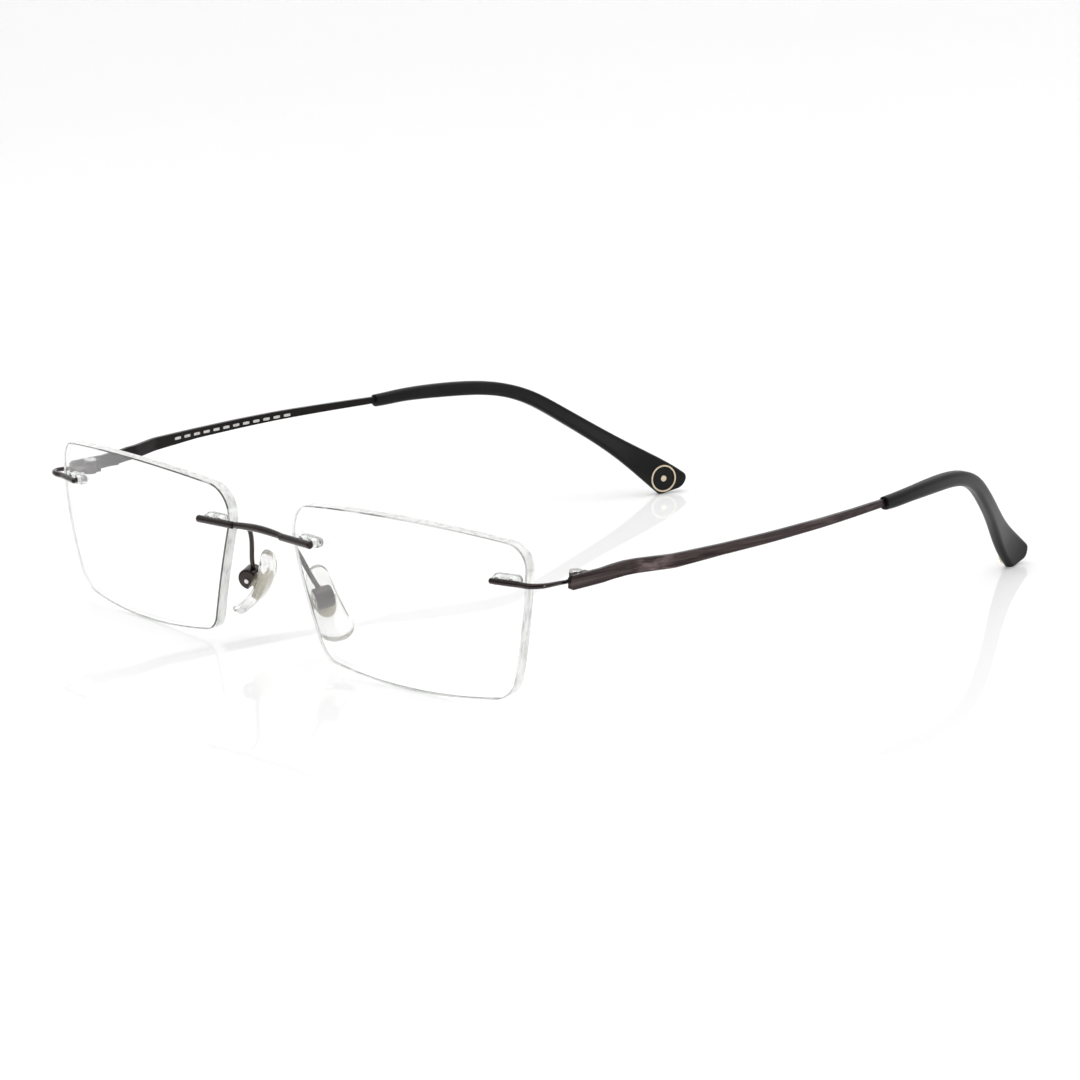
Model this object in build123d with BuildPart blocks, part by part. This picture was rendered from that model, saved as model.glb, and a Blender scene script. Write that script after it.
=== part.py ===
from build123d import *
import os
from math import cos, radians, sin, sqrt

# Rimless spectacles, millimetres. +Z is up, the lenses face -Y, +X is the wearer's left.
# Every piece is drawn with y = 0 at the front of the lenses' nose side, and save_pair() and
# save_piece() then move it so that the origin is the middle of the footprint, on the table.
FRONT_Y = -70.63
# long enough to cut right through any piece, and the gap under a seated part
THROUGH = 20.0
SEAT = 0.02

# Lenses: one outline, box size 55 x 30, seen square on. s runs towards the temple, t upwards.
LENS_CENTRE = Vector(36.28, 0.06, 14.76)
LENS_WRAP = radians(4.91)
LENS_TILT = radians(3.88)
LENS_RADIUS = 145.6
LENS_THICKNESS = 2.1
LENS_BEVEL = 0.2
# corner (s, t), its rounding radius, and the bulge of the side that follows it, clockwise
LENS_CORNERS = [
    ((-29.16, 12.64), 5.6, 2.0),
    ((27.63, 13.06), 4.1, 1.15),
    ((22.77, -13.23), 5.9, 1.59),
    ((-20.91, -13.31), 4.3, 0.23),
]

# Two-pin mountings that hold the metal to each lens
MOUNT_HEIGHT = 7.12
NOSE_MOUNT_S = -23.4
TEMPLE_MOUNT_S = 22.85
PIN_SPACING = 2.8
PIN_RADIUS = 0.45
BORE_CLEARANCE = 0.03
SLEEVE_WALL = 0.3
BUSHING_LENGTH = 5.4
BUSHING_HEIGHT = 1.8
BUSHING_DEPTH = 1.0
BUSHING_GAP = 0.06
BUSHING_ROUNDING = 0.5
SLEEVE_ROOT = 0.2
PIN_END = 0.7
PIN_END_GAP = 0.06

# Bridge
TAB_RADIUS = 0.66
TAB_LIFT = 0.86
TAB_OUTER = 2.8
TAB_INNER = -6.3
BRIDGE_END_RADIUS = 0.5
BRIDGE_MIDDLE_RADIUS = 0.67
BRIDGE_MIDDLE = (0.0, -0.32, 22.3)
# where the middle wire starts inside each bar and where it leaves it, in the mount's plane
BRIDGE_ROOT = (-5.4, 0.0, 0.64)
BRIDGE_SHOULDER = (-7.3, 0.05, 0.56)
TAB_ROUNDING = 0.3

# End pieces
WIRE_RADIUS = 0.49
WIRE_THIN_RADIUS = 0.39
WIRE_LIFT = 0.62
WIRE_OVERHANG = 0.8
WIRE_ROUNDING = 0.37
WIRE_STRAIGHT = 1.6
WIRE_INTO_KNUCKLE = 0.6
# share of the wire's length and its radius there
WIRE_SECTIONS = [(0, WIRE_RADIUS), (0.45, WIRE_RADIUS), (0.7, WIRE_THIN_RADIUS), (1, WIRE_THIN_RADIUS)]
WIRE_BEND = [(65.2, 3.95, 22.08), (66.62, 5.3, 22.14), (66.85, 7.3, 22.1), (66.5, 9.9, 21.95)]

# Hinges: vertical pin, three knuckles
HINGE_X = 65.75
HINGE_Y = 13.35
KNUCKLE_RADIUS = 1.1
KNUCKLE_GAP = 0.06
MIDDLE_KNUCKLE = (21.35, 22.3)
LOWER_KNUCKLE_BOTTOM = 20.65
UPPER_KNUCKLE_TOP = 23.0
HINGE_SCREW_RADIUS = 0.5
HINGE_RUNNING_GAP = 0.05
SCREW_HEAD_RADIUS = 1.1
SCREW_HEAD_HEIGHT = 0.38
SCREW_SLOT = 0.25
SCREW_SLOT_DEPTH = 0.18
SCREW_SLOT_TURN = 35
SCREW_CHAMFER = 0.12
SCREW_SHORT = 0.1
LEAF_THICKNESS = 0.55
LEAF_BACK_Y = 20.0
LEAF_HEIGHTS = (21.1, 22.95)
LEAF_START = 0.15
# the arm from each knuckle to the plate: how far it starts inside, and how far it laps the plate
KNUCKLE_ARM = (-0.2, 0.9)

# Temple strips: centre line seen from above, with the rounding at each inner point
STRIP_THICKNESS = 0.8
STRIP_PLAN = [(67.37, 10.55), (67.42, 20.0), (68.1, 24.4), (70.5, 30.6), (71.4, 41.0), (71.75, 52.0),
              (71.25, 63.0), (70.1, 72.5), (68.5, 82.4)]
STRIP_ROUNDING = [8.0, 5.0, 6.0, 90.0, 90.0, 90.0, 90.0]
STRIP_TOP = [(11.0, 23.05), (17.5, 23.22), (22.4, 23.72), (31.0, 23.9), (41.0, 24.08), (60.0, 24.5),
             (82.4, 24.68)]
STRIP_BOTTOM = [(82.4, 23.46), (60.0, 22.9), (41.0, 22.25), (31.0, 21.6), (22.4, 21.3),
                (17.5, 20.85), (11.0, 20.66)]
STRIP_NOSE = [(10.55, 20.95), (10.55, 22.6)]

# Ear sleeves: centre line from the strip's end to the tip, and sections along it
EAR_LINE = [(68.5, 82.5, 23.9), (67.5, 90.0, 24.24), (64.8, 100.0, 24.24), (62.25, 107.8, 23.5),
            (59.8, 114.0, 21.45), (56.75, 120.1, 17.5), (52.6, 127.1, 12.25), (47.6, 136.0, 5.1),
            (46.0, 144.5, -1.5)]
# half height, half thickness and twist in degrees, at even steps along the line
EAR_SECTIONS = [(1.14, 1.0, 0), (1.22, 1.06, 0), (1.3, 1.13, 0), (1.35, 1.2, 0), (1.34, 1.22, 0),
                (1.34, 1.22, 0), (1.38, 1.2, 1), (1.43, 1.17, 2), (1.52, 1.13, 4), (1.68, 1.1, 6),
                (2.1, 1.06, 8), (2.75, 0.98, 9), (3.25, 0.92, 10), (3.4, 0.88, 10)]
EAR_ROUNDING = 0.8
# the tip is cut off on a slant, in a frame that has x along the sleeve and y up its section
EAR_TRIM = 0.91
TIP_CUT = [(-0.3, -3.46), (6.05, 3.72)]
TIP_CORNERS = (1.3, 2.3)
TIP_UNDER = (-6.0, -3.3)
TIP_OVER = (-6.0, 3.8)
TIP_FAR = (-90.0, 40.0)
CORE_RADIUS = 0.5
CORE_CLEARANCE = 0.04
CORE_END = 0.8
CORE_ROOT = 0.8
CORE_END_GAP = 0.01
BADGE_AT = 0.892
BADGE_SHIFT = -0.17
BADGE_RADIUS = 2.72
BADGE_LINE = 0.32
BADGE_STUD_RADIUS = 0.6
BADGE_PROUD = 0.14
BADGE_DEPTH = 0.45

# Nose pads: the frame's x runs back along the rocking screw, y up the pad, z out from the nose
PAD_ORIGIN = Vector(10.6, 6.05, 11.15)
PAD_DOWN = Vector(0.56, -0.05, -0.83)
PAD_OUTWARD = Vector(0.735, -0.431, 0.523)
PAD_OFFSET = 0.6
PAD_TOP = (3.9, 2.2)
PAD_LOW = (-5.1, 3.15)
# the pad is a curved leaf, cut from a ring round an axis along the screw
PAD_CURVE = 13.0
PAD_CURVE_MIDDLE = -0.9
PAD_INSIDE = -3.45
PAD_THICKNESS = 1.8
PAD_ROUNDING = 0.62
PAD_REACH = 6.0
BOX_RADIUS = 1.9
BOX_HOLLOW = 1.55
BOX_WIDTH = 3.2
BOX_WALL = 0.42
BOX_MOUTH = -0.8
BOX_ROUNDING = 0.4
PAD_SCREW_Y = -0.25
PAD_SCREW_RADIUS = 0.42
PAD_SCREW_HEAD = 0.7
LUG_RADIUS = 0.72
LUG_WIDTH = 1.7
CORE_PLATE = (3.9, 6.0)
CORE_PLATE_CENTRE = -0.1
CORE_PLATE_TOP = -1.95
CORE_PLATE_DEPTH = 0.6
LUG_ROOT = 0.2
PAD_SCREW_END = 0.15
PAD_SCREW_HEAD_HEIGHT = 0.35
MOULDING_GAP = 0.03
ARM_RADIUS = 0.42
ARM_LINE = [(6.2, -0.1, 21.7), (6.3, 1.5, 21.4), (6.5, 2.6, 20.8), (6.9, 3.35, 19.6),
            (8.25, 4.5, 16.3), (9.68, 5.95, 12.6)]

LENS_ACROSS = Vector(cos(LENS_WRAP), sin(LENS_WRAP), 0)
LENS_OUT = Vector(cos(LENS_TILT) * sin(LENS_WRAP), -cos(LENS_TILT) * cos(LENS_WRAP), -sin(LENS_TILT))
LENS_PLANE = Plane(origin=LENS_CENTRE, x_dir=LENS_ACROSS, z_dir=LENS_OUT)
SPHERE_CENTRE = LENS_CENTRE - LENS_OUT * LENS_RADIUS
# the sphere's seam and poles are kept away from the lens
SPHERE_PLANE = Plane(origin=SPHERE_CENTRE, x_dir=LENS_OUT * -1, z_dir=LENS_PLANE.y_dir)
PAD_PLANE = Plane(origin=PAD_ORIGIN, x_dir=PAD_OUTWARD.cross(PAD_DOWN), z_dir=PAD_OUTWARD)


def mount_plane(s):
    """The plane that touches the lens front at (s, MOUNT_HEIGHT), facing forward."""
    depth = LENS_RADIUS - sqrt(LENS_RADIUS**2 - s**2 - MOUNT_HEIGHT**2)
    point = LENS_PLANE.from_local_coords((s, MOUNT_HEIGHT, -depth))
    return Plane(origin=point, x_dir=LENS_ACROSS, z_dir=point - SPHERE_CENTRE)


NOSE_MOUNT = mount_plane(NOSE_MOUNT_S)
TEMPLE_MOUNT = mount_plane(TEMPLE_MOUNT_S)
PIN_PLACES = [(-PIN_SPACING / 2, 0), (PIN_SPACING / 2, 0)]
PIN_REACH = LENS_THICKNESS + BUSHING_GAP + PIN_END
HOLE_RADIUS = PIN_RADIUS + 2 * BORE_CLEARANCE + SLEEVE_WALL


def make_lens():
    with BuildPart() as lens:
        with BuildSketch(LENS_PLANE) as outline:
            with BuildLine():
                for number, (start, _, bulge) in enumerate(LENS_CORNERS):
                    end = LENS_CORNERS[(number + 1) % len(LENS_CORNERS)][0]
                    side = Vector(*end) - Vector(*start)
                    outward = Vector(-side.Y, side.X).normalized()
                    middle = Vector(*start) + side / 2 + outward * bulge
                    ThreePointArc(start, middle, end)
            make_face()
            for corner, radius, _ in LENS_CORNERS:
                nearest = outline.vertices().sort_by_distance(Vector(*corner))[0]
                fillet(nearest, radius)
        extrude(amount=THROUGH, both=True)
        with Locations(SPHERE_PLANE):
            Sphere(LENS_RADIUS, mode=Mode.INTERSECT)
        with Locations(SPHERE_PLANE):
            Sphere(LENS_RADIUS - LENS_THICKNESS, mode=Mode.SUBTRACT)
        rims = lens.faces().filter_by(GeomType.SPHERE).edges()
        chamfer(rims, LENS_BEVEL)
        for mount in (NOSE_MOUNT, TEMPLE_MOUNT):
            with BuildSketch(mount.offset(LENS_THICKNESS)):
                with Locations(*PIN_PLACES):
                    Circle(HOLE_RADIUS)
            extrude(amount=-3 * LENS_THICKNESS, mode=Mode.SUBTRACT)
    return lens.part


def make_bushing(mount):
    """Clear bar behind the lens with two sleeves that line the lens holes."""
    back = mount.offset(-LENS_THICKNESS - BUSHING_GAP)
    with BuildPart() as bushing:
        with BuildSketch(back):
            SlotOverall(BUSHING_LENGTH, BUSHING_HEIGHT)
        extrude(amount=-BUSHING_DEPTH)
        fillet(bushing.faces().sort_by(Axis(mount.origin, mount.z_dir))[0].edges(), BUSHING_ROUNDING)
        with BuildSketch(back.offset(-SLEEVE_ROOT)):
            with Locations(*PIN_PLACES):
                Circle(PIN_RADIUS + BORE_CLEARANCE + SLEEVE_WALL)
        extrude(amount=LENS_THICKNESS + SLEEVE_ROOT)
        with BuildSketch(mount):
            with Locations(*PIN_PLACES):
                Circle(PIN_RADIUS + BORE_CLEARANCE)
        extrude(amount=-(PIN_REACH + PIN_END_GAP), mode=Mode.SUBTRACT)
    return bushing.part


def make_bridge():
    root = NOSE_MOUNT.from_local_coords(BRIDGE_ROOT)
    shoulder = NOSE_MOUNT.from_local_coords(BRIDGE_SHOULDER)
    across = NOSE_MOUNT.x_dir
    with BuildPart() as bridge:
        with BuildSketch(Plane(origin=NOSE_MOUNT.from_local_coords((TAB_INNER, 0, TAB_LIFT)),
                               x_dir=NOSE_MOUNT.z_dir, z_dir=across)):
            Circle(TAB_RADIUS)
        extrude(amount=TAB_OUTER - TAB_INNER)
        fillet(bridge.edges().filter_by(GeomType.CIRCLE), TAB_ROUNDING)
        with BuildSketch(NOSE_MOUNT.offset(TAB_LIFT)):
            with Locations(*PIN_PLACES):
                Circle(PIN_RADIUS)
        extrude(amount=-(TAB_LIFT + PIN_REACH))
        mirror(about=Plane.YZ)
        with BuildLine() as arch:
            Spline(root, shoulder, BRIDGE_MIDDLE, (-shoulder.X, shoulder.Y, shoulder.Z),
                   (-root.X, root.Y, root.Z))
        for place, radius in [(0, BRIDGE_END_RADIUS), (0.5, BRIDGE_MIDDLE_RADIUS),
                              (1, BRIDGE_END_RADIUS)]:
            with BuildSketch(Plane(origin=arch.line @ place, z_dir=arch.line % place)):
                Circle(radius)
        sweep(path=arch.line, multisection=True)
    return bridge.part


def make_end_piece():
    start = TEMPLE_MOUNT.from_local_coords((-PIN_SPACING / 2 - WIRE_OVERHANG, 0, WIRE_LIFT))
    edge = TEMPLE_MOUNT.from_local_coords((PIN_SPACING / 2 + WIRE_STRAIGHT, 0, WIRE_LIFT))
    knuckle_middle = (MIDDLE_KNUCKLE[0] + MIDDLE_KNUCKLE[1]) / 2
    into_knuckle = (HINGE_X, HINGE_Y - WIRE_INTO_KNUCKLE, knuckle_middle)
    with BuildPart() as end_piece:
        with BuildLine() as wire:
            Line(start, edge)
            Spline(edge, *WIRE_BEND, into_knuckle, tangents=[TEMPLE_MOUNT.x_dir, (-0.25, 1, 0)])
        for place, radius in WIRE_SECTIONS:
            with BuildSketch(Plane(origin=wire.line @ place, z_dir=wire.line % place)):
                Circle(radius)
        sweep(path=wire.line, multisection=True)
        inner_end = end_piece.faces().sort_by_distance(start)[0]
        fillet(inner_end.edges(), WIRE_ROUNDING)
        with BuildSketch(TEMPLE_MOUNT.offset(WIRE_LIFT)):
            with Locations(*PIN_PLACES):
                Circle(PIN_RADIUS)
        extrude(amount=-(WIRE_LIFT + PIN_REACH))
        with BuildSketch(Plane.XY.offset(MIDDLE_KNUCKLE[0])):
            with Locations((HINGE_X, HINGE_Y)):
                Circle(KNUCKLE_RADIUS)
        extrude(amount=MIDDLE_KNUCKLE[1] - MIDDLE_KNUCKLE[0])
        with BuildSketch(Plane.XY):
            with Locations((HINGE_X, HINGE_Y)):
                Circle(HINGE_SCREW_RADIUS + HINGE_RUNNING_GAP)
        extrude(amount=2 * THROUGH, mode=Mode.SUBTRACT)
    return end_piece.part


def make_hinge_leaf():
    """Plate on the inside of the temple strip, with the upper and the lower knuckle."""
    strip_inside = STRIP_PLAN[0][0] - STRIP_THICKNESS / 2
    plate_front = HINGE_Y + KNUCKLE_RADIUS + LEAF_START
    knuckles = [(LOWER_KNUCKLE_BOTTOM, MIDDLE_KNUCKLE[0] - KNUCKLE_GAP),
                (MIDDLE_KNUCKLE[1] + KNUCKLE_GAP, UPPER_KNUCKLE_TOP)]
    with BuildPart() as leaf:
        with BuildSketch(Plane.XY.offset(LEAF_HEIGHTS[0])):
            with Locations((strip_inside - SEAT, plate_front)):
                Rectangle(LEAF_THICKNESS, LEAF_BACK_Y - plate_front, align=(Align.MAX, Align.MIN))
        extrude(amount=LEAF_HEIGHTS[1] - LEAF_HEIGHTS[0])
        for low, high in knuckles:
            with BuildSketch(Plane.XY.offset(low)):
                with Locations((HINGE_X, HINGE_Y)):
                    Circle(KNUCKLE_RADIUS)
                with Locations((HINGE_X + KNUCKLE_ARM[0], HINGE_Y)):
                    Rectangle(strip_inside - SEAT - HINGE_X - KNUCKLE_ARM[0],
                              plate_front - HINGE_Y + KNUCKLE_ARM[1],
                              align=(Align.MIN, Align.MIN))
            extrude(amount=high - low)
        with BuildSketch(Plane.XY):
            with Locations((HINGE_X, HINGE_Y)):
                Circle(HINGE_SCREW_RADIUS + BORE_CLEARANCE)
        extrude(amount=2 * THROUGH, mode=Mode.SUBTRACT)
    return leaf.part


def make_hinge_screw():
    with BuildPart() as screw:
        with BuildSketch(Plane.XY.offset(LOWER_KNUCKLE_BOTTOM + SCREW_SHORT)):
            with Locations((HINGE_X, HINGE_Y)):
                Circle(HINGE_SCREW_RADIUS)
        extrude(amount=UPPER_KNUCKLE_TOP + SCREW_SHORT - LOWER_KNUCKLE_BOTTOM)
        with BuildSketch(Plane.XY.offset(UPPER_KNUCKLE_TOP + SEAT)):
            with Locations((HINGE_X, HINGE_Y)):
                Circle(SCREW_HEAD_RADIUS)
        extrude(amount=SCREW_HEAD_HEIGHT)
        chamfer(screw.faces().sort_by(Axis.Z)[-1].edges(), SCREW_CHAMFER)
        with BuildSketch(Plane.XY.offset(UPPER_KNUCKLE_TOP + SEAT + SCREW_HEAD_HEIGHT)):
            with Locations(Location((HINGE_X, HINGE_Y), SCREW_SLOT_TURN)):
                Rectangle(3 * SCREW_HEAD_RADIUS, SCREW_SLOT)
        extrude(amount=-SCREW_SLOT_DEPTH, mode=Mode.SUBTRACT)
    return screw.part


def make_temple():
    """Flat strip from the hinge, drawn out into the round core inside the ear sleeve."""
    with BuildPart() as temple:
        with BuildSketch(Plane.XY):
            with BuildLine() as plan:
                FilletPolyline(*STRIP_PLAN, radius=STRIP_ROUNDING)
            trace(plan.line, STRIP_THICKNESS)
        extrude(amount=2 * THROUGH)
        with BuildSketch(Plane.YZ):
            with BuildLine():
                Polyline(*STRIP_TOP, *STRIP_BOTTOM, *STRIP_NOSE, close=True)
            make_face()
        extrude(amount=5 * THROUGH, mode=Mode.INTERSECT)
        with BuildLine() as core:
            add(ear_line().trim(0.0, CORE_END))
        with BuildSketch(Plane(origin=core.line @ 0, z_dir=core.line % 0).offset(-CORE_ROOT)):
            Circle(CORE_RADIUS)
        extrude(amount=CORE_ROOT)
        with BuildSketch(Plane(origin=core.line @ 0, z_dir=core.line % 0)):
            Circle(CORE_RADIUS)
        sweep(path=core.line)
    return temple.part


def ear_line():
    return Spline(*EAR_LINE, mode=Mode.PRIVATE)


def ear_plane(fraction):
    """Section plane of the sleeve: x runs up the section and z along the centre line."""
    line = ear_line()
    along = line % fraction
    up = along.cross(Vector(1, 0, 0)) * -1
    twist = EAR_SECTIONS[round(fraction * (len(EAR_SECTIONS) - 1))][2]
    return Plane(origin=line @ fraction, x_dir=up.rotate(Axis((0, 0, 0), along), -twist), z_dir=along)


def make_sleeve():
    with BuildPart() as sleeve:
        for number, (half_height, half_thickness, _) in enumerate(EAR_SECTIONS):
            with BuildSketch(ear_plane(number / (len(EAR_SECTIONS) - 1))):
                RectangleRounded(2 * half_height, 2 * half_thickness, EAR_ROUNDING)
        loft()
        tip = ear_plane(EAR_TRIM)
        side_on = Plane(origin=tip.origin, x_dir=tip.z_dir, z_dir=tip.y_dir)
        with BuildSketch(side_on.offset(-THROUGH / 2)) as end_outline:
            with BuildLine():
                Polyline((TIP_FAR[0], -TIP_FAR[1]), TIP_UNDER, *TIP_CUT, TIP_OVER, TIP_FAR, close=True)
            make_face()
            for corner, radius in zip(TIP_CUT, TIP_CORNERS):
                fillet(end_outline.vertices().sort_by_distance(Vector(*corner))[0], radius)
        extrude(amount=THROUGH, mode=Mode.INTERSECT)
        with BuildLine() as bore:
            add(ear_line().trim(0.0, CORE_END + CORE_END_GAP))
        with BuildSketch(Plane(origin=bore.line @ 0, z_dir=bore.line % 0)):
            Circle(CORE_RADIUS + CORE_CLEARANCE)
        sweep(path=bore.line, mode=Mode.SUBTRACT)
    return sleeve.part


def badge_plane():
    """Plane on the inner flat of the tip, facing the wearer's head."""
    tip = ear_plane(BADGE_AT)
    inner_half = EAR_SECTIONS[-2][1]
    facing = tip.y_dir if tip.y_dir.X < 0 else tip.y_dir * -1
    return Plane(origin=tip.origin + tip.x_dir * BADGE_SHIFT + facing * inner_half,
                 x_dir=tip.z_dir, z_dir=facing)


def make_tip_ring():
    with BuildPart() as ring:
        with BuildSketch(badge_plane().offset(BADGE_PROUD)):
            Circle(BADGE_RADIUS)
            Circle(BADGE_RADIUS - BADGE_LINE, mode=Mode.SUBTRACT)
        extrude(amount=-BADGE_DEPTH)
    return ring.part


def make_tip_stud():
    with BuildPart() as stud:
        with BuildSketch(badge_plane().offset(BADGE_PROUD)):
            Circle(BADGE_STUD_RADIUS)
        extrude(amount=-BADGE_DEPTH)
    return stud.part


def screw_end_plane(position):
    """Plane across the rocking screw, position along it from the box's middle."""
    origin = PAD_PLANE.from_local_coords((position, 0, 0))
    return Plane(origin=origin, x_dir=PAD_PLANE.y_dir, z_dir=PAD_PLANE.x_dir)


def make_pad_box():
    """Cup with two cheeks, open towards the pad."""
    with BuildPart() as box:
        with BuildSketch(screw_end_plane(-BOX_WIDTH / 2)):
            Circle(BOX_RADIUS)
        extrude(amount=BOX_WIDTH)
        fillet(box.edges(), BOX_ROUNDING)
        with BuildSketch(screw_end_plane(-BOX_WIDTH / 2 + BOX_WALL)):
            Circle(BOX_HOLLOW)
        extrude(amount=BOX_WIDTH - 2 * BOX_WALL, mode=Mode.SUBTRACT)
        with BuildSketch(PAD_PLANE.offset(BOX_MOUTH)):
            Rectangle(THROUGH, THROUGH)
        extrude(amount=-THROUGH, mode=Mode.SUBTRACT)
        with BuildSketch(screw_end_plane(-THROUGH / 2)):
            with Locations((PAD_SCREW_Y, 0)):
                Circle(PAD_SCREW_RADIUS + BORE_CLEARANCE)
        extrude(amount=THROUGH, mode=Mode.SUBTRACT)
    return box.part


def make_pad_screw():
    with BuildPart() as screw:
        with BuildSketch(screw_end_plane(-BOX_WIDTH / 2 - PAD_SCREW_END)):
            with Locations((PAD_SCREW_Y, 0)):
                Circle(PAD_SCREW_RADIUS)
        extrude(amount=BOX_WIDTH + PAD_SCREW_END + 2 * SEAT)
        with BuildSketch(screw_end_plane(BOX_WIDTH / 2 + SEAT)):
            with Locations((PAD_SCREW_Y, 0)):
                Circle(PAD_SCREW_HEAD)
        extrude(amount=PAD_SCREW_HEAD_HEIGHT)
    return screw.part


def make_pad_core(margin=0.0):
    """Plate moulded into the pad, with the lug that the screw goes through."""
    with BuildPart() as core:
        with BuildSketch(PAD_PLANE.offset(CORE_PLATE_TOP + margin)):
            with Locations((PAD_OFFSET / 2, CORE_PLATE_CENTRE)):
                Ellipse(CORE_PLATE[0] / 2 + margin, CORE_PLATE[1] / 2 + margin)
        extrude(amount=-CORE_PLATE_DEPTH - 2 * margin)
        with BuildSketch(screw_end_plane(-LUG_WIDTH / 2 - margin)):
            with Locations((PAD_SCREW_Y, 0)):
                Circle(LUG_RADIUS + margin)
            with Locations((PAD_SCREW_Y, 0)):
                Rectangle(2 * LUG_RADIUS + 2 * margin, abs(CORE_PLATE_TOP) + LUG_ROOT,
                          align=(Align.CENTER, Align.MAX))
        extrude(amount=LUG_WIDTH + 2 * margin)
        if margin == 0.0:
            with BuildSketch(screw_end_plane(-THROUGH / 2)):
                with Locations((PAD_SCREW_Y, 0)):
                    Circle(PAD_SCREW_RADIUS + HINGE_RUNNING_GAP)
            extrude(amount=THROUGH, mode=Mode.SUBTRACT)
    return core.part


def make_nose_pad():
    pocket = make_pad_core(margin=MOULDING_GAP)
    curve_centre = (PAD_CURVE_MIDDLE, PAD_INSIDE + PAD_CURVE)
    with BuildPart() as pad:
        with BuildSketch(PAD_PLANE.offset(PAD_INSIDE)):
            with Locations((PAD_OFFSET, PAD_TOP[0])):
                Circle(PAD_TOP[1])
            with Locations((PAD_OFFSET, PAD_LOW[0])):
                Circle(PAD_LOW[1])
            make_hull()
        extrude(amount=PAD_REACH)
        with BuildSketch(screw_end_plane(-THROUGH / 2)):
            with Locations(curve_centre):
                Circle(PAD_CURVE)
                Circle(PAD_CURVE - PAD_THICKNESS, mode=Mode.SUBTRACT)
        extrude(amount=THROUGH, mode=Mode.INTERSECT)
        leaf_faces = pad.faces().sort_by(SortBy.AREA)[-2:]
        fillet(leaf_faces.edges(), PAD_ROUNDING)
        add(pocket, mode=Mode.SUBTRACT)
    return pad.part


def make_pad_arm():
    with BuildPart() as arm:
        with BuildLine() as line:
            Spline(*ARM_LINE)
        with BuildSketch(Plane(origin=line.line @ 0, z_dir=line.line % 0)):
            Circle(ARM_RADIUS)
        sweep(path=line.line)
    return arm.part


def save_piece(piece, name):
    placed = piece.moved(Location((0, FRONT_Y, 0)))
    placed.label = name
    export_step(placed, f"parts/{name}.step")


def save_pair(piece, name):
    """The wearer's left piece, and the right one that is its mirror image."""
    with BuildPart() as right:
        mirror(piece, about=Plane.YZ)
    save_piece(piece, f"{name}_left")
    save_piece(right.part, f"{name}_right")


os.makedirs("parts", exist_ok=True)
save_piece(make_bridge(), "bridge")
save_pair(make_lens(), "lens")
save_pair(make_bushing(NOSE_MOUNT), "nose_bushing")
save_pair(make_bushing(TEMPLE_MOUNT), "temple_bushing")
save_pair(make_end_piece(), "end_piece")
save_pair(make_pad_arm(), "pad_arm")
save_pair(make_pad_box(), "pad_box")
save_pair(make_pad_screw(), "pad_screw")
save_pair(make_pad_core(), "pad_core")
save_pair(make_nose_pad(), "nose_pad")
save_pair(make_hinge_leaf(), "hinge_leaf")
save_pair(make_hinge_screw(), "hinge_screw")
save_pair(make_temple(), "temple")
save_pair(make_sleeve(), "ear_sleeve")
save_pair(make_tip_ring(), "tip_ring")
save_pair(make_tip_stud(), "tip_stud")
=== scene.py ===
import math

import bmesh
import bpy
from mathutils import Matrix, Vector


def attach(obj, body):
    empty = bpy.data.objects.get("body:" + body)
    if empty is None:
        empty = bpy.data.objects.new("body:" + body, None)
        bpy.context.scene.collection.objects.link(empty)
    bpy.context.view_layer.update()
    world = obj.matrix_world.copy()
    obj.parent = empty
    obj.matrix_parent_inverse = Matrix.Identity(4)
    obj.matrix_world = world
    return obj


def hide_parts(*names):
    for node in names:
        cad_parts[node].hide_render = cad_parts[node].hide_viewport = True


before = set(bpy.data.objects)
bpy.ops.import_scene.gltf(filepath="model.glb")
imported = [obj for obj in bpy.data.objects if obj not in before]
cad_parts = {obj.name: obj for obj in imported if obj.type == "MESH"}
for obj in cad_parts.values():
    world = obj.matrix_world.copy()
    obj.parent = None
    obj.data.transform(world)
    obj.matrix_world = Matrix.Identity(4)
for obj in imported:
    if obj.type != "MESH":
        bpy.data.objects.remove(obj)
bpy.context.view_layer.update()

scene = bpy.context.scene
MM = 0.001
# y of the lenses' nasal front edge in the frame, whose origin is the middle of the footprint
FRONT_Y = -70.63


def mm(x, y, z):
    return Vector((x, y + FRONT_Y, z)) * MM


# ------------------------------------------------------------------ camera
AZ, EL, ROLL = math.radians(48.464), math.radians(12.657), math.radians(-1.093)
CAMERA_TARGET = mm(20.0, 46.28, 15.83)
CAMERA_DISTANCE = 0.7957
back = Vector((math.sin(AZ) * math.cos(EL), -math.cos(AZ) * math.cos(EL), math.sin(EL)))
right = Vector((math.cos(AZ), math.sin(AZ), 0))
up = back.cross(right)
cam_x = math.cos(ROLL) * right + math.sin(ROLL) * up
cam_y = -math.sin(ROLL) * right + math.cos(ROLL) * up
cam_data = bpy.data.cameras.new("camera")
cam_data.sensor_width = 36
cam_data.lens = 151.65
cam_data.clip_start = 0.01
cam_data.clip_end = 50
cam = bpy.data.objects.new("camera", cam_data)
scene.collection.objects.link(cam)
basis = Matrix((cam_x, cam_y, back)).transposed().to_4x4()
cam.matrix_world = Matrix.Translation(CAMERA_TARGET + back * CAMERA_DISTANCE) @ basis
scene.camera = cam


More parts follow.
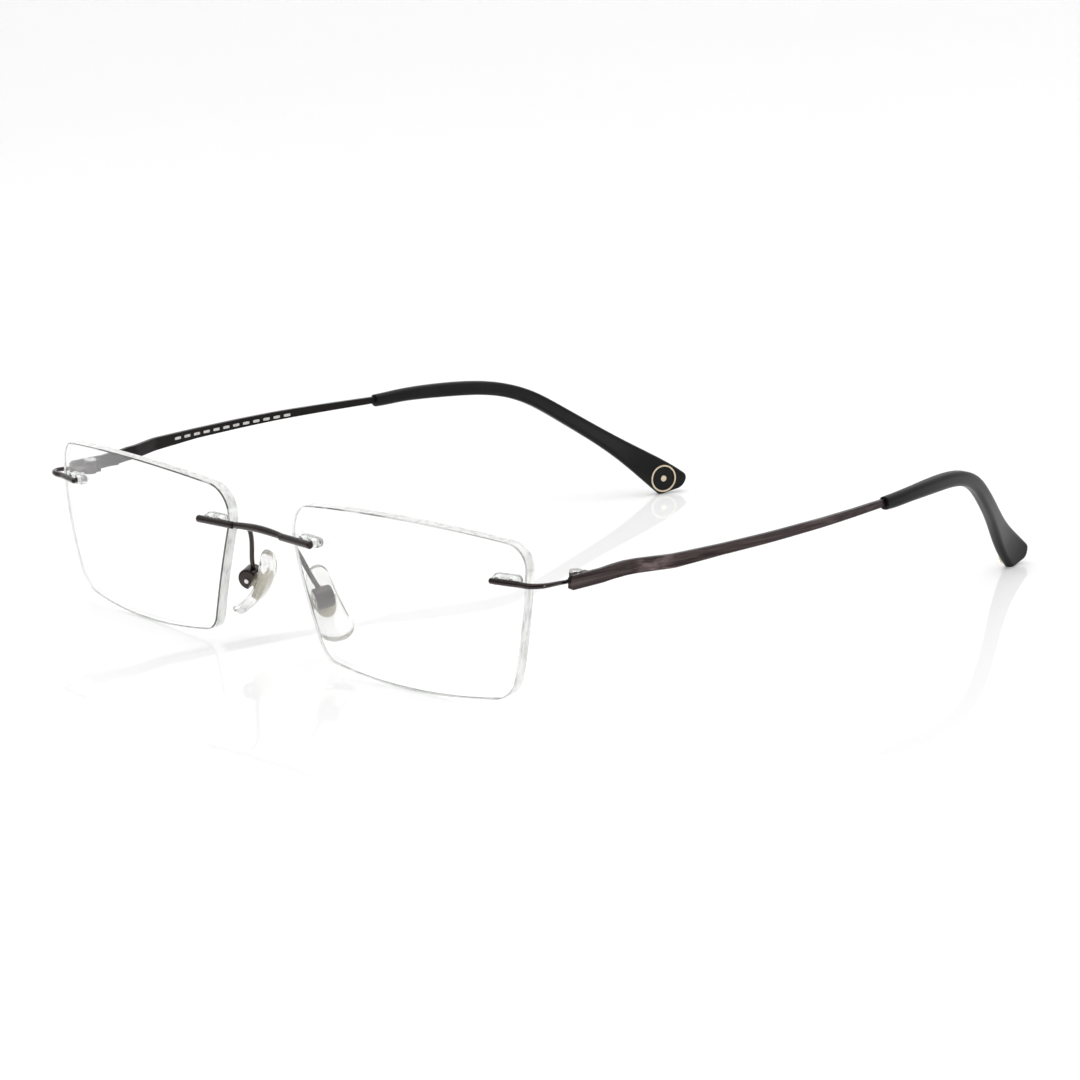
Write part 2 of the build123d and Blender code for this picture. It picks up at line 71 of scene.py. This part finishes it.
# ------------------------------------------------------------------ node helpers
class Nodes:
    """A short way to write a node tree."""

    def __init__(self, name):
        self.mat = bpy.data.materials.new(name)
        self.mat.use_nodes = True
        self.tree = self.mat.node_tree
        self.tree.nodes.clear()
        self.out = self.new("ShaderNodeOutputMaterial")

    def new(self, kind, **props):
        node = self.tree.nodes.new(kind)
        for key, value in props.items():
            setattr(node, key, value)
        return node

    def put(self, node, **values):
        for key, value in values.items():
            node.inputs[key.replace("_", " ")].default_value = value
        return node

    def link(self, a, b):
        self.tree.links.new(a, b)

    def math(self, op, a, b=None, clamp=False):
        node = self.new("ShaderNodeMath", operation=op, use_clamp=clamp)
        for i, v in enumerate((a, b)):
            if v is None:
                continue
            if isinstance(v, (int, float)):
                node.inputs[i].default_value = v
            else:
                self.link(v, node.inputs[i])
        return node.outputs[0]

    def ramp(self, value, stops):
        node = self.new("ShaderNodeValToRGB")
        while len(node.color_ramp.elements) < len(stops):
            node.color_ramp.elements.new(0.5)
        for element, (place, colour) in zip(node.color_ramp.elements, stops):
            element.position = place
            element.color = (*colour, 1) if len(colour) == 3 else colour
        self.link(value, node.inputs[0])
        return node.outputs[0]

    def grey(self, value, low, high, start=0.0, end=1.0):
        node = self.new("ShaderNodeMapRange")
        self.link(value, node.inputs[0])
        for i, v in enumerate((start, end, low, high)):
            node.inputs[i + 1].default_value = v
        return node.outputs[0]

    def noise(self, scale, stretch=(1, 1, 1), detail=4, rough=0.55):
        coord = self.new("ShaderNodeTexCoord")
        place = self.new("ShaderNodeMapping")
        place.inputs["Scale"].default_value = stretch
        self.link(coord.outputs["Object"], place.inputs["Vector"])
        node = self.new("ShaderNodeTexNoise")
        self.put(node, Scale=scale, Detail=detail, Roughness=rough)
        self.link(place.outputs[0], node.inputs["Vector"])
        return node.outputs["Fac"]

    def normal(self):
        """The surface's own normal, as separate X, Y and Z."""
        geometry = self.new("ShaderNodeNewGeometry")
        axis = self.new("ShaderNodeSeparateXYZ")
        self.link(geometry.outputs["Normal"], axis.inputs[0])
        return axis.outputs

    def position(self):
        """The place in the object's frame, as separate X, Y and Z."""
        coord = self.new("ShaderNodeTexCoord")
        axis = self.new("ShaderNodeSeparateXYZ")
        self.link(coord.outputs["Object"], axis.inputs[0])
        return axis.outputs

    def bump(self, height, distance, strength=1.0, soft_edge=None):
        node = self.new("ShaderNodeBump")
        self.put(node, Strength=strength, Distance=distance)
        self.link(height, node.inputs["Height"])
        if soft_edge:
            bevel = self.new("ShaderNodeBevel", samples=4)
            bevel.inputs["Radius"].default_value = soft_edge
            self.link(bevel.outputs[0], node.inputs["Normal"])
        return node.outputs[0]

    def principled(self, **values):
        node = self.new("ShaderNodeBsdfPrincipled")
        for key, value in values.items():
            socket = node.inputs[key.replace("_", " ")]
            if isinstance(value, (int, float, tuple)):
                socket.default_value = value
            else:
                self.link(value, socket)
        return node

    def done(self, shader):
        self.link(shader, self.out.inputs["Surface"])
        return self.mat


def outwardness(n):
    """1 on faces that look away from x = 0, and -1 on faces that look towards it."""
    side = n.math("SIGN", n.position()["X"])
    return n.math("MULTIPLY", n.normal()["X"], side)


# ------------------------------------------------------------------ materials
def dark_wire():
    n = Nodes("plum_wire")
    cloud = n.noise(900, detail=5)
    grain = n.noise(9000, detail=2)
    colour = n.ramp(cloud, [(0.3, (0.019, 0.012, 0.011)), (0.7, (0.038, 0.026, 0.024))])
    rough = n.grey(grain, 0.08, 0.15)
    normal = n.bump(grain, 0.00001, 0.12, soft_edge=0.00012)
    p = n.principled(Base_Color=colour, Metallic=0.85, Roughness=rough, Normal=normal,
                     Coat_Weight=0.4, Coat_Roughness=0.05)
    return n.done(p.outputs[0])


def satin_strip():
    n = Nodes("plum_satin_strip")
    brush = n.noise(2600, stretch=(1, 0.03, 1), detail=6, rough=0.7)
    cloud = n.noise(160, stretch=(1, 0.5, 1), detail=3)
    rolled = n.noise(650, stretch=(1, 0.03, 1), detail=2)
    streaks_and_top_shade = n.math("ADD", n.math("MULTIPLY", brush, 0.45), n.math("MULTIPLY", rolled, 0.55))
    # faces that look up lose up to 0.2 of the lengthwise streak tone: painted shade, a dark line along the
    # strip's top edge
    streaks_and_top_shade = n.math("SUBTRACT", streaks_and_top_shade, n.grey(n.normal()["Z"], 0, 0.2, 0.25, 0.9))
    outer_colour_with_top_shade = n.ramp(streaks_and_top_shade, [(0.36, (0.024, 0.017, 0.017)), (0.5, (0.056, 0.042, 0.042)),
                            (0.64, (0.102, 0.077, 0.077))])
    # the inner side's near-black colour is painted shade, standing in for the dark surroundings it
    # reflects; the same mask also makes that side less metallic and rougher
    inside = n.ramp(cloud, [(0.3, (0.007, 0.005, 0.005)), (0.7, (0.012, 0.0085, 0.0085))])
    inward = n.grey(outwardness(n), 1, 0, -0.55, 0.1)
    mix = n.new("ShaderNodeMix", data_type="RGBA")
    n.link(inward, mix.inputs["Factor"])
    n.link(outer_colour_with_top_shade, mix.inputs["A"])
    n.link(inside, mix.inputs["B"])
    metal = n.grey(inward, 0.92, 0.12)
    rough = n.math("ADD", n.grey(brush, 0.17, 0.3), n.math("MULTIPLY", inward, 0.16))
    rolls = n.bump(rolled, 0.00025, 0.6, soft_edge=0.00014)
    normal = n.bump(brush, 0.000012, 0.5)
    n.link(rolls, normal.node.inputs["Normal"])
    p = n.principled(Base_Color=mix.outputs["Result"], Metallic=metal, Roughness=rough,
                     Normal=normal, Anisotropic=0.5, Specular_IOR_Level=0.16)
    return n.done(p.outputs[0])


def black_sleeve():
    n = Nodes("satin_black_sleeve")
    fine = n.noise(7000, detail=3)
    cloud = n.noise(140, detail=4)
    colour = n.ramp(cloud, [(0.3, (0.008, 0.008, 0.0084)), (0.7, (0.013, 0.013, 0.0136))])
    rough = n.math("ADD", n.grey(cloud, 0.27, 0.38), n.grey(fine, -0.03, 0.03))
    normal = n.bump(fine, 0.000012, 0.4, soft_edge=0.0004)
    p = n.principled(Base_Color=colour, Roughness=rough, Normal=normal, Specular_IOR_Level=0.13)
    return n.done(p.outputs[0])


def bright_screw():
    n = Nodes("bright_screw")
    turned = n.noise(5000, stretch=(1, 1, 4), detail=3)
    colour = n.ramp(turned, [(0.3, (0.56, 0.55, 0.54)), (0.7, (0.76, 0.755, 0.74))])
    p = n.principled(Base_Color=colour, Metallic=1.0, Roughness=n.grey(turned, 0.14, 0.3),
                     Normal=n.bump(turned, 0.00001, 0.4, soft_edge=0.00008))
    return n.done(p.outputs[0])


def beige_plate():
    n = Nodes("beige_silver_plate")
    fine = n.noise(3500, detail=4)
    colour = n.ramp(fine, [(0.3, (0.56, 0.52, 0.41)), (0.7, (0.76, 0.72, 0.6))])
    p = n.principled(Base_Color=colour, Metallic=0.3, Roughness=n.grey(fine, 0.28, 0.45),
                     Normal=n.bump(fine, 0.00002, 0.5, soft_edge=0.0001))
    return n.done(p.outputs[0])


def pale_gold():
    n = Nodes("pale_gold_inlay")
    fine = n.noise(5200, detail=4)
    colour = n.ramp(fine, [(0.3, (0.6, 0.5, 0.34)), (0.7, (0.8, 0.7, 0.52))])
    p = n.principled(Base_Color=colour, Metallic=1.0, Roughness=n.grey(fine, 0.22, 0.38),
                     Normal=n.bump(fine, 0.00001, 0.4, soft_edge=0.00006))
    return n.done(p.outputs[0])


def through_light(n, shader):
    """Lets light pass straight through to the floor, so clear things cast no black shadow."""
    path = n.new("ShaderNodeLightPath")
    clear = n.new("ShaderNodeBsdfTransparent")
    clear.inputs[0].default_value = (0.93, 0.93, 0.93, 1)
    mix = n.new("ShaderNodeMixShader")
    n.link(path.outputs["Is Shadow Ray"], mix.inputs[0])
    n.link(shader, mix.inputs[1])
    n.link(clear.outputs[0], mix.inputs[2])
    return mix.outputs[0]


def clear_lens():
    n = Nodes("clear_lens")
    facing = n.math("ABSOLUTE", n.normal()["Y"])
    rim = n.grey(facing, 1, 0, 0.55, 0.9)
    haze = n.noise(320, detail=4)
    face = n.principled(Base_Color=(1, 1, 1, 1), Roughness=n.grey(haze, 0.0, 0.015), IOR=1.5,
                        Transmission_Weight=1.0)
    film = n.new("ShaderNodeBsdfGlossy")
    n.put(film, Color=(1, 1, 1, 1), Roughness=0.04)
    veil = n.new("ShaderNodeMixShader")
    n.link(n.grey(haze, 0.02, 0.034), veil.inputs[0])
    n.link(face.outputs[0], veil.inputs[1])
    n.link(film.outputs[0], veil.inputs[2])
    streak = n.noise(700, stretch=(1, 1.6, 0.35), detail=5, rough=0.7)
    ground = n.ramp(streak, [(0.36, (0.64, 0.65, 0.635)), (0.5, (0.88, 0.888, 0.872)),
                             (0.6, (0.98, 0.985, 0.975))])
    # faces that partly look front or back are darkened to 0.22-0.3: painted shade, thin dark lines along
    # the lens edge
    bevel = n.ramp(facing, [(0.52, (1, 1, 1)), (0.6, (0.22, 0.23, 0.22)), (0.82, (0.3, 0.31, 0.3))])
    streaks_and_bevel_shade = n.new("ShaderNodeMix", data_type="RGBA", blend_type="MULTIPLY")
    streaks_and_bevel_shade.inputs["Factor"].default_value = 1.0
    n.link(ground, streaks_and_bevel_shade.inputs["A"])
    n.link(bevel, streaks_and_bevel_shade.inputs["B"])
    # the edge glows in its own streaky colour at strength 0.2: painted light that brightens the edge band
    # on its dim side
    edge = n.principled(Base_Color=streaks_and_bevel_shade.outputs["Result"], Roughness=n.grey(streak, 0.08, 0.26),
                        IOR=1.5, Transmission_Weight=0.3, Normal=n.bump(streak, 0.00002, 0.5),
                        Emission_Color=streaks_and_bevel_shade.outputs["Result"], Emission_Strength=0.2)
    mix = n.new("ShaderNodeMixShader")
    n.link(rim, mix.inputs[0])
    n.link(veil.outputs[0], mix.inputs[1])
    n.link(edge.outputs[0], mix.inputs[2])
    return n.done(through_light(n, mix.outputs[0]))


def clear_plastic():
    n = Nodes("clear_moulding")
    swirl = n.noise(1200, detail=4)
    p = n.principled(Base_Color=n.ramp(swirl, [(0.3, (0.74, 0.75, 0.75)), (0.7, (0.92, 0.92, 0.92))]),
                     Roughness=n.grey(swirl, 0.04, 0.14), IOR=1.47, Transmission_Weight=0.92,
                     Normal=n.bump(swirl, 0.00003, 0.3))
    return n.done(through_light(n, p.outputs[0]))


def silicone():
    n = Nodes("clear_silicone")
    cloud = n.noise(420, detail=4)
    fine = n.noise(2800, detail=3)
    colour = n.ramp(cloud, [(0.3, (0.89, 0.895, 0.885)), (0.7, (0.96, 0.962, 0.955))])
    p = n.principled(Base_Color=colour, Roughness=n.grey(cloud, 0.03, 0.09), IOR=1.41,
                     Transmission_Weight=0.93, Normal=n.bump(fine, 0.00001, 0.2),
                     Coat_Weight=0.3, Coat_Roughness=0.05)
    return n.done(through_light(n, p.outputs[0]))


WIRE, STRIP, SLEEVE = dark_wire(), satin_strip(), black_sleeve()
SCREW, PLATE, GOLD = bright_screw(), beige_plate(), pale_gold()
LENS, CLEAR, PAD = clear_lens(), clear_plastic(), silicone()
LOOKS = {"bridge": WIRE, "end_piece": WIRE, "pad_arm": WIRE, "pad_box": WIRE, "hinge_leaf": STRIP,
         "pad_screw": SCREW, "hinge_screw": SCREW, "lens": LENS, "nose_bushing": CLEAR,
         "temple_bushing": CLEAR, "pad_core": PLATE, "nose_pad": PAD, "temple": STRIP,
         "ear_sleeve": SLEEVE, "tip_ring": GOLD, "tip_stud": GOLD}
for name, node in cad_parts.items():
    kind = name.removesuffix("_left").removesuffix("_right")
    for slot in node.material_slots:
        slot.material = LOOKS[kind]


# ------------------------------------------------------------------ nose pads
def add_piece(name, bm, material, body, smooth=True, subdivide=0):
    mesh = bpy.data.meshes.new(name)
    bmesh.ops.recalc_face_normals(bm, faces=bm.faces)
    bm.to_mesh(mesh)
    bm.free()
    for poly in mesh.polygons:
        poly.use_smooth = smooth
    mesh.materials.append(material)
    piece = bpy.data.objects.new(name, mesh)
    scene.collection.objects.link(piece)
    if subdivide:
        modifier = piece.modifiers.new("smooth", "SUBSURF")
        modifier.levels = modifier.render_levels = subdivide
    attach(piece, body)
    return piece


PAD_ORIGIN = Vector((10.6, 6.05, 11.15))
PAD_Z = Vector((0.735, -0.431, 0.523)).normalized()
PAD_X = PAD_Z.cross(Vector((0.56, -0.05, -0.83))).normalized()
PAD_Y = PAD_Z.cross(PAD_X)
PAD_ACROSS = 0.6
PAD_LOW, PAD_LOW_RADIUS, PAD_HIGH, PAD_HIGH_RADIUS = -5.1, 3.15, 3.9, 2.2
PAD_MIDDLE = -0.9
PAD_INSIDE, PAD_CURVE, PAD_THICKNESS = -3.45, 13.0, 1.8
# how far out (share of the outline) and how high (share of the half thickness) the section goes
PAD_SECTION = [(0.3, 0.76), (0.56, 0.78), (0.7, 0.84), (0.79, 1.04), (0.88, 1.08), (0.955, 0.85),
               (0.997, 0.35), (0.997, -0.3), (0.96, -0.72), (0.88, -0.93), (0.7, -1.03), (0.35, -1.06)]


def pad_outline(angle):
    """Egg shape round two circles, larger below, as (across, up) in mm."""
    d = Vector((math.cos(angle), math.sin(angle)))
    centre = Vector((PAD_ACROSS, PAD_MIDDLE))
    best = 0.0
    for i in range(41):
        t = i / 40
        c = Vector((0, PAD_LOW + (PAD_HIGH - PAD_LOW) * t - PAD_MIDDLE))
        r = PAD_LOW_RADIUS + (PAD_HIGH_RADIUS - PAD_LOW_RADIUS) * t
        along = c.dot(d)
        gap = r * r - (c.length_squared - along * along)
        if gap >= 0:
            best = max(best, along + math.sqrt(gap))
    return centre, d * best


def pad_point(across, high, share):
    """A point of the curved leaf: share is 1 on the box side and -1 on the nose side."""
    run = high - PAD_MIDDLE
    inner = PAD_INSIDE + PAD_CURVE - math.sqrt(PAD_CURVE ** 2 - run * run)
    outer = PAD_INSIDE + PAD_CURVE - math.sqrt((PAD_CURVE - PAD_THICKNESS) ** 2 - run * run)
    level = (inner + outer) / 2 + share * (outer - inner) / 2
    return PAD_ORIGIN + PAD_X * across + PAD_Y * high + PAD_Z * level


def make_pad(side):
    bm = bmesh.new()
    rings = []
    steps = 40
    for reach, share in PAD_SECTION:
        ring = []
        for i in range(steps):
            centre, out = pad_outline(i / steps * 2 * math.pi)
            q = centre + out * reach
            p = pad_point(q.x, q.y, share)
            ring.append(bm.verts.new(mm(p.x * side, p.y, p.z)))
        rings.append(ring)
    for a, b in zip(rings, rings[1:]):
        for i in range(steps):
            j = (i + 1) % steps
            bm.faces.new((a[i], a[j], b[j], b[i]))
    for ring, share in ((rings[0], 0.76), (rings[-1], -1.07)):
        p = pad_point(PAD_ACROSS, PAD_MIDDLE, share)
        pole = bm.verts.new(mm(p.x * side, p.y, p.z))
        for i in range(steps):
            bm.faces.new((ring[i], ring[(i + 1) % steps], pole))
    name = "left" if side > 0 else "right"
    pad = add_piece("pad_leaf_" + name, bm, PAD, "pad_" + name + "_body", subdivide=2)
    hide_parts("nose_pad_" + name)


make_pad(1)
make_pad(-1)


# ------------------------------------------------------------------ plain marks inside a temple
def white_ink():
    n = Nodes("white_ink")
    worn = n.noise(4200, detail=4)
    p = n.principled(Base_Color=n.ramp(worn, [(0.3, (0.42, 0.41, 0.4)), (0.65, (0.8, 0.79, 0.77))]),
                     Roughness=n.grey(worn, 0.45, 0.6), Normal=n.bump(worn, 0.00001, 0.3))
    return n.done(p.outputs[0])


MARK_START, MARK_COUNT, MARK_LENGTH, MARK_STEP = 35.5, 12, 1.5, 2.4
MARK_STATIONS = 6


def make_marks():
    """A row of even dashes on the right temple's inner side, where the size is printed in life."""
    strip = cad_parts["temple_right"]
    bm = bmesh.new()
    for number in range(MARK_COUNT):
        stations = []
        for i in range(MARK_STATIONS):
            share = i / (MARK_STATIONS - 1)
            run = number * MARK_STEP + MARK_LENGTH * share
            middle = 23.0 + run * 0.021
            _, place, _, _ = strip.ray_cast(mm(0, MARK_START + run, middle), Vector((-1, 0, 0)))
            half = 0.2 if share in (0, 1) else 0.26
            section = [(0.02, -half), (0.02, half), (-0.04, half), (-0.04, -half)]
            stations.append([bm.verts.new((place.x + dx * MM, place.y, place.z + dz * MM))
                             for dx, dz in section])
        for a, b in zip(stations, stations[1:]):
            for i in range(4):
                j = (i + 1) % 4
                bm.faces.new((a[i], a[j], b[j], b[i]))
        bm.faces.new(stations[0])
        bm.faces.new(stations[-1][::-1])
    marks = add_piece("temple_dashes", bm, white_ink(), "temple_right_body", smooth=False)


make_marks()

# ------------------------------------------------------------------ stage
FLOOR_NEAR, FLOOR_FAR, FLOOR_HALF_WIDTH = -3.0, 1.2, 4.5
CURVE_RADIUS, CURVE_STEPS, WALL_TOP = 0.9, 12, 3.4
# the floor lies just under the table plane, so that what rests there doesn't flicker
FLOOR_DROP = 0.00003


def pale_floor():
    n = Nodes("pale_floor")
    soft = n.noise(3, detail=2)
    glow = n.grey(n.position()["Z"], 0.13, 0.4, 0.0, 1.5)
    p = n.principled(Base_Color=n.ramp(soft, [(0.3, (0.955, 0.955, 0.955)), (0.7, (0.965, 0.965, 0.965))]),
                     Roughness=n.grey(soft, 0.03, 0.04), Specular_IOR_Level=0.26,
                     Emission_Color=(1, 1, 1, 1), Emission_Strength=glow)
    return n.done(p.outputs[0])


def make_floor():
    """Floor that curves up into a backdrop, square to the camera."""
    profile = [(FLOOR_NEAR, 0.0), (FLOOR_FAR, 0.0)]
    for i in range(1, CURVE_STEPS + 1):
        a = i / CURVE_STEPS * math.pi / 2
        profile.append((FLOOR_FAR + CURVE_RADIUS * math.sin(a), CURVE_RADIUS * (1 - math.cos(a))))
    profile.append((FLOOR_FAR + CURVE_RADIUS, WALL_TOP))
    forward = Vector((-back.x, -back.y, 0)).normalized()
    bm = bmesh.new()
    rows = []
    for along, height in profile:
        centre = forward * along + Vector((0, 0, height - FLOOR_DROP))
        rows.append([bm.verts.new(centre + right * s) for s in (-FLOOR_HALF_WIDTH, FLOOR_HALF_WIDTH)])
    for a, b in zip(rows, rows[1:]):
        bm.faces.new((a[0], a[1], b[1], b[0]))
    mesh = bpy.data.meshes.new("floor")
    bm.to_mesh(mesh)
    bm.free()
    for poly in mesh.polygons:
        poly.use_smooth = True
    mesh.materials.append(pale_floor())
    floor = bpy.data.objects.new("floor", mesh)
    scene.collection.objects.link(floor)


def softbox(name, place, aim, size, power):
    data = bpy.data.lights.new(name, "AREA")
    data.shape = "RECTANGLE"
    data.size, data.size_y = size
    data.energy = power
    lamp = bpy.data.objects.new(name, data)
    scene.collection.objects.link(lamp)
    lamp.location = place
    lamp.rotation_euler = (Vector(aim) - Vector(place)).to_track_quat("-Z", "Y").to_euler()


make_floor()
softbox("top", (0, 0.05, 1.3), (0, 0, 0), (0.9, 2.4), 8)
softbox("side", (1.3, 0.15, 0.55), (0, 0, 0), (0.25, 0.9), 1.3)
softbox("bend", (0.5, -0.049, 0.11), (0.07, -0.043, 0.09), (0.06, 0.12), 0.34)
softbox("front", (-0.35, -1.25, 0.9), (0, 0, 0.02), (0.3, 0.3), 1.2)

# brightest behind and above on the left, darkest towards the right
WORLD_BRIGHT_SIDE = (-0.45, 0.5, 0.74)
WORLD_LOW, WORLD_HIGH = 0.1, 0.85

world = bpy.data.worlds.new("studio")
world.use_nodes = True
tree = world.node_tree
sky = tree.nodes["Background"]
coord = tree.nodes.new("ShaderNodeTexCoord")
dot = tree.nodes.new("ShaderNodeVectorMath")
dot.operation = "DOT_PRODUCT"
dot.inputs[1].default_value = WORLD_BRIGHT_SIDE
tree.links.new(coord.outputs["Generated"], dot.inputs[0])
spread = tree.nodes.new("ShaderNodeMapRange")
for i, v in enumerate((-0.45, 0.6, WORLD_LOW, WORLD_HIGH)):
    spread.inputs[i + 1].default_value = v
tree.links.new(dot.outputs["Value"], spread.inputs[0])
tree.links.new(spread.outputs[0], sky.inputs["Strength"])
sky.inputs["Color"].default_value = (1, 1, 1, 1)
scene.world = world
scene.view_settings.view_transform = "Standard"
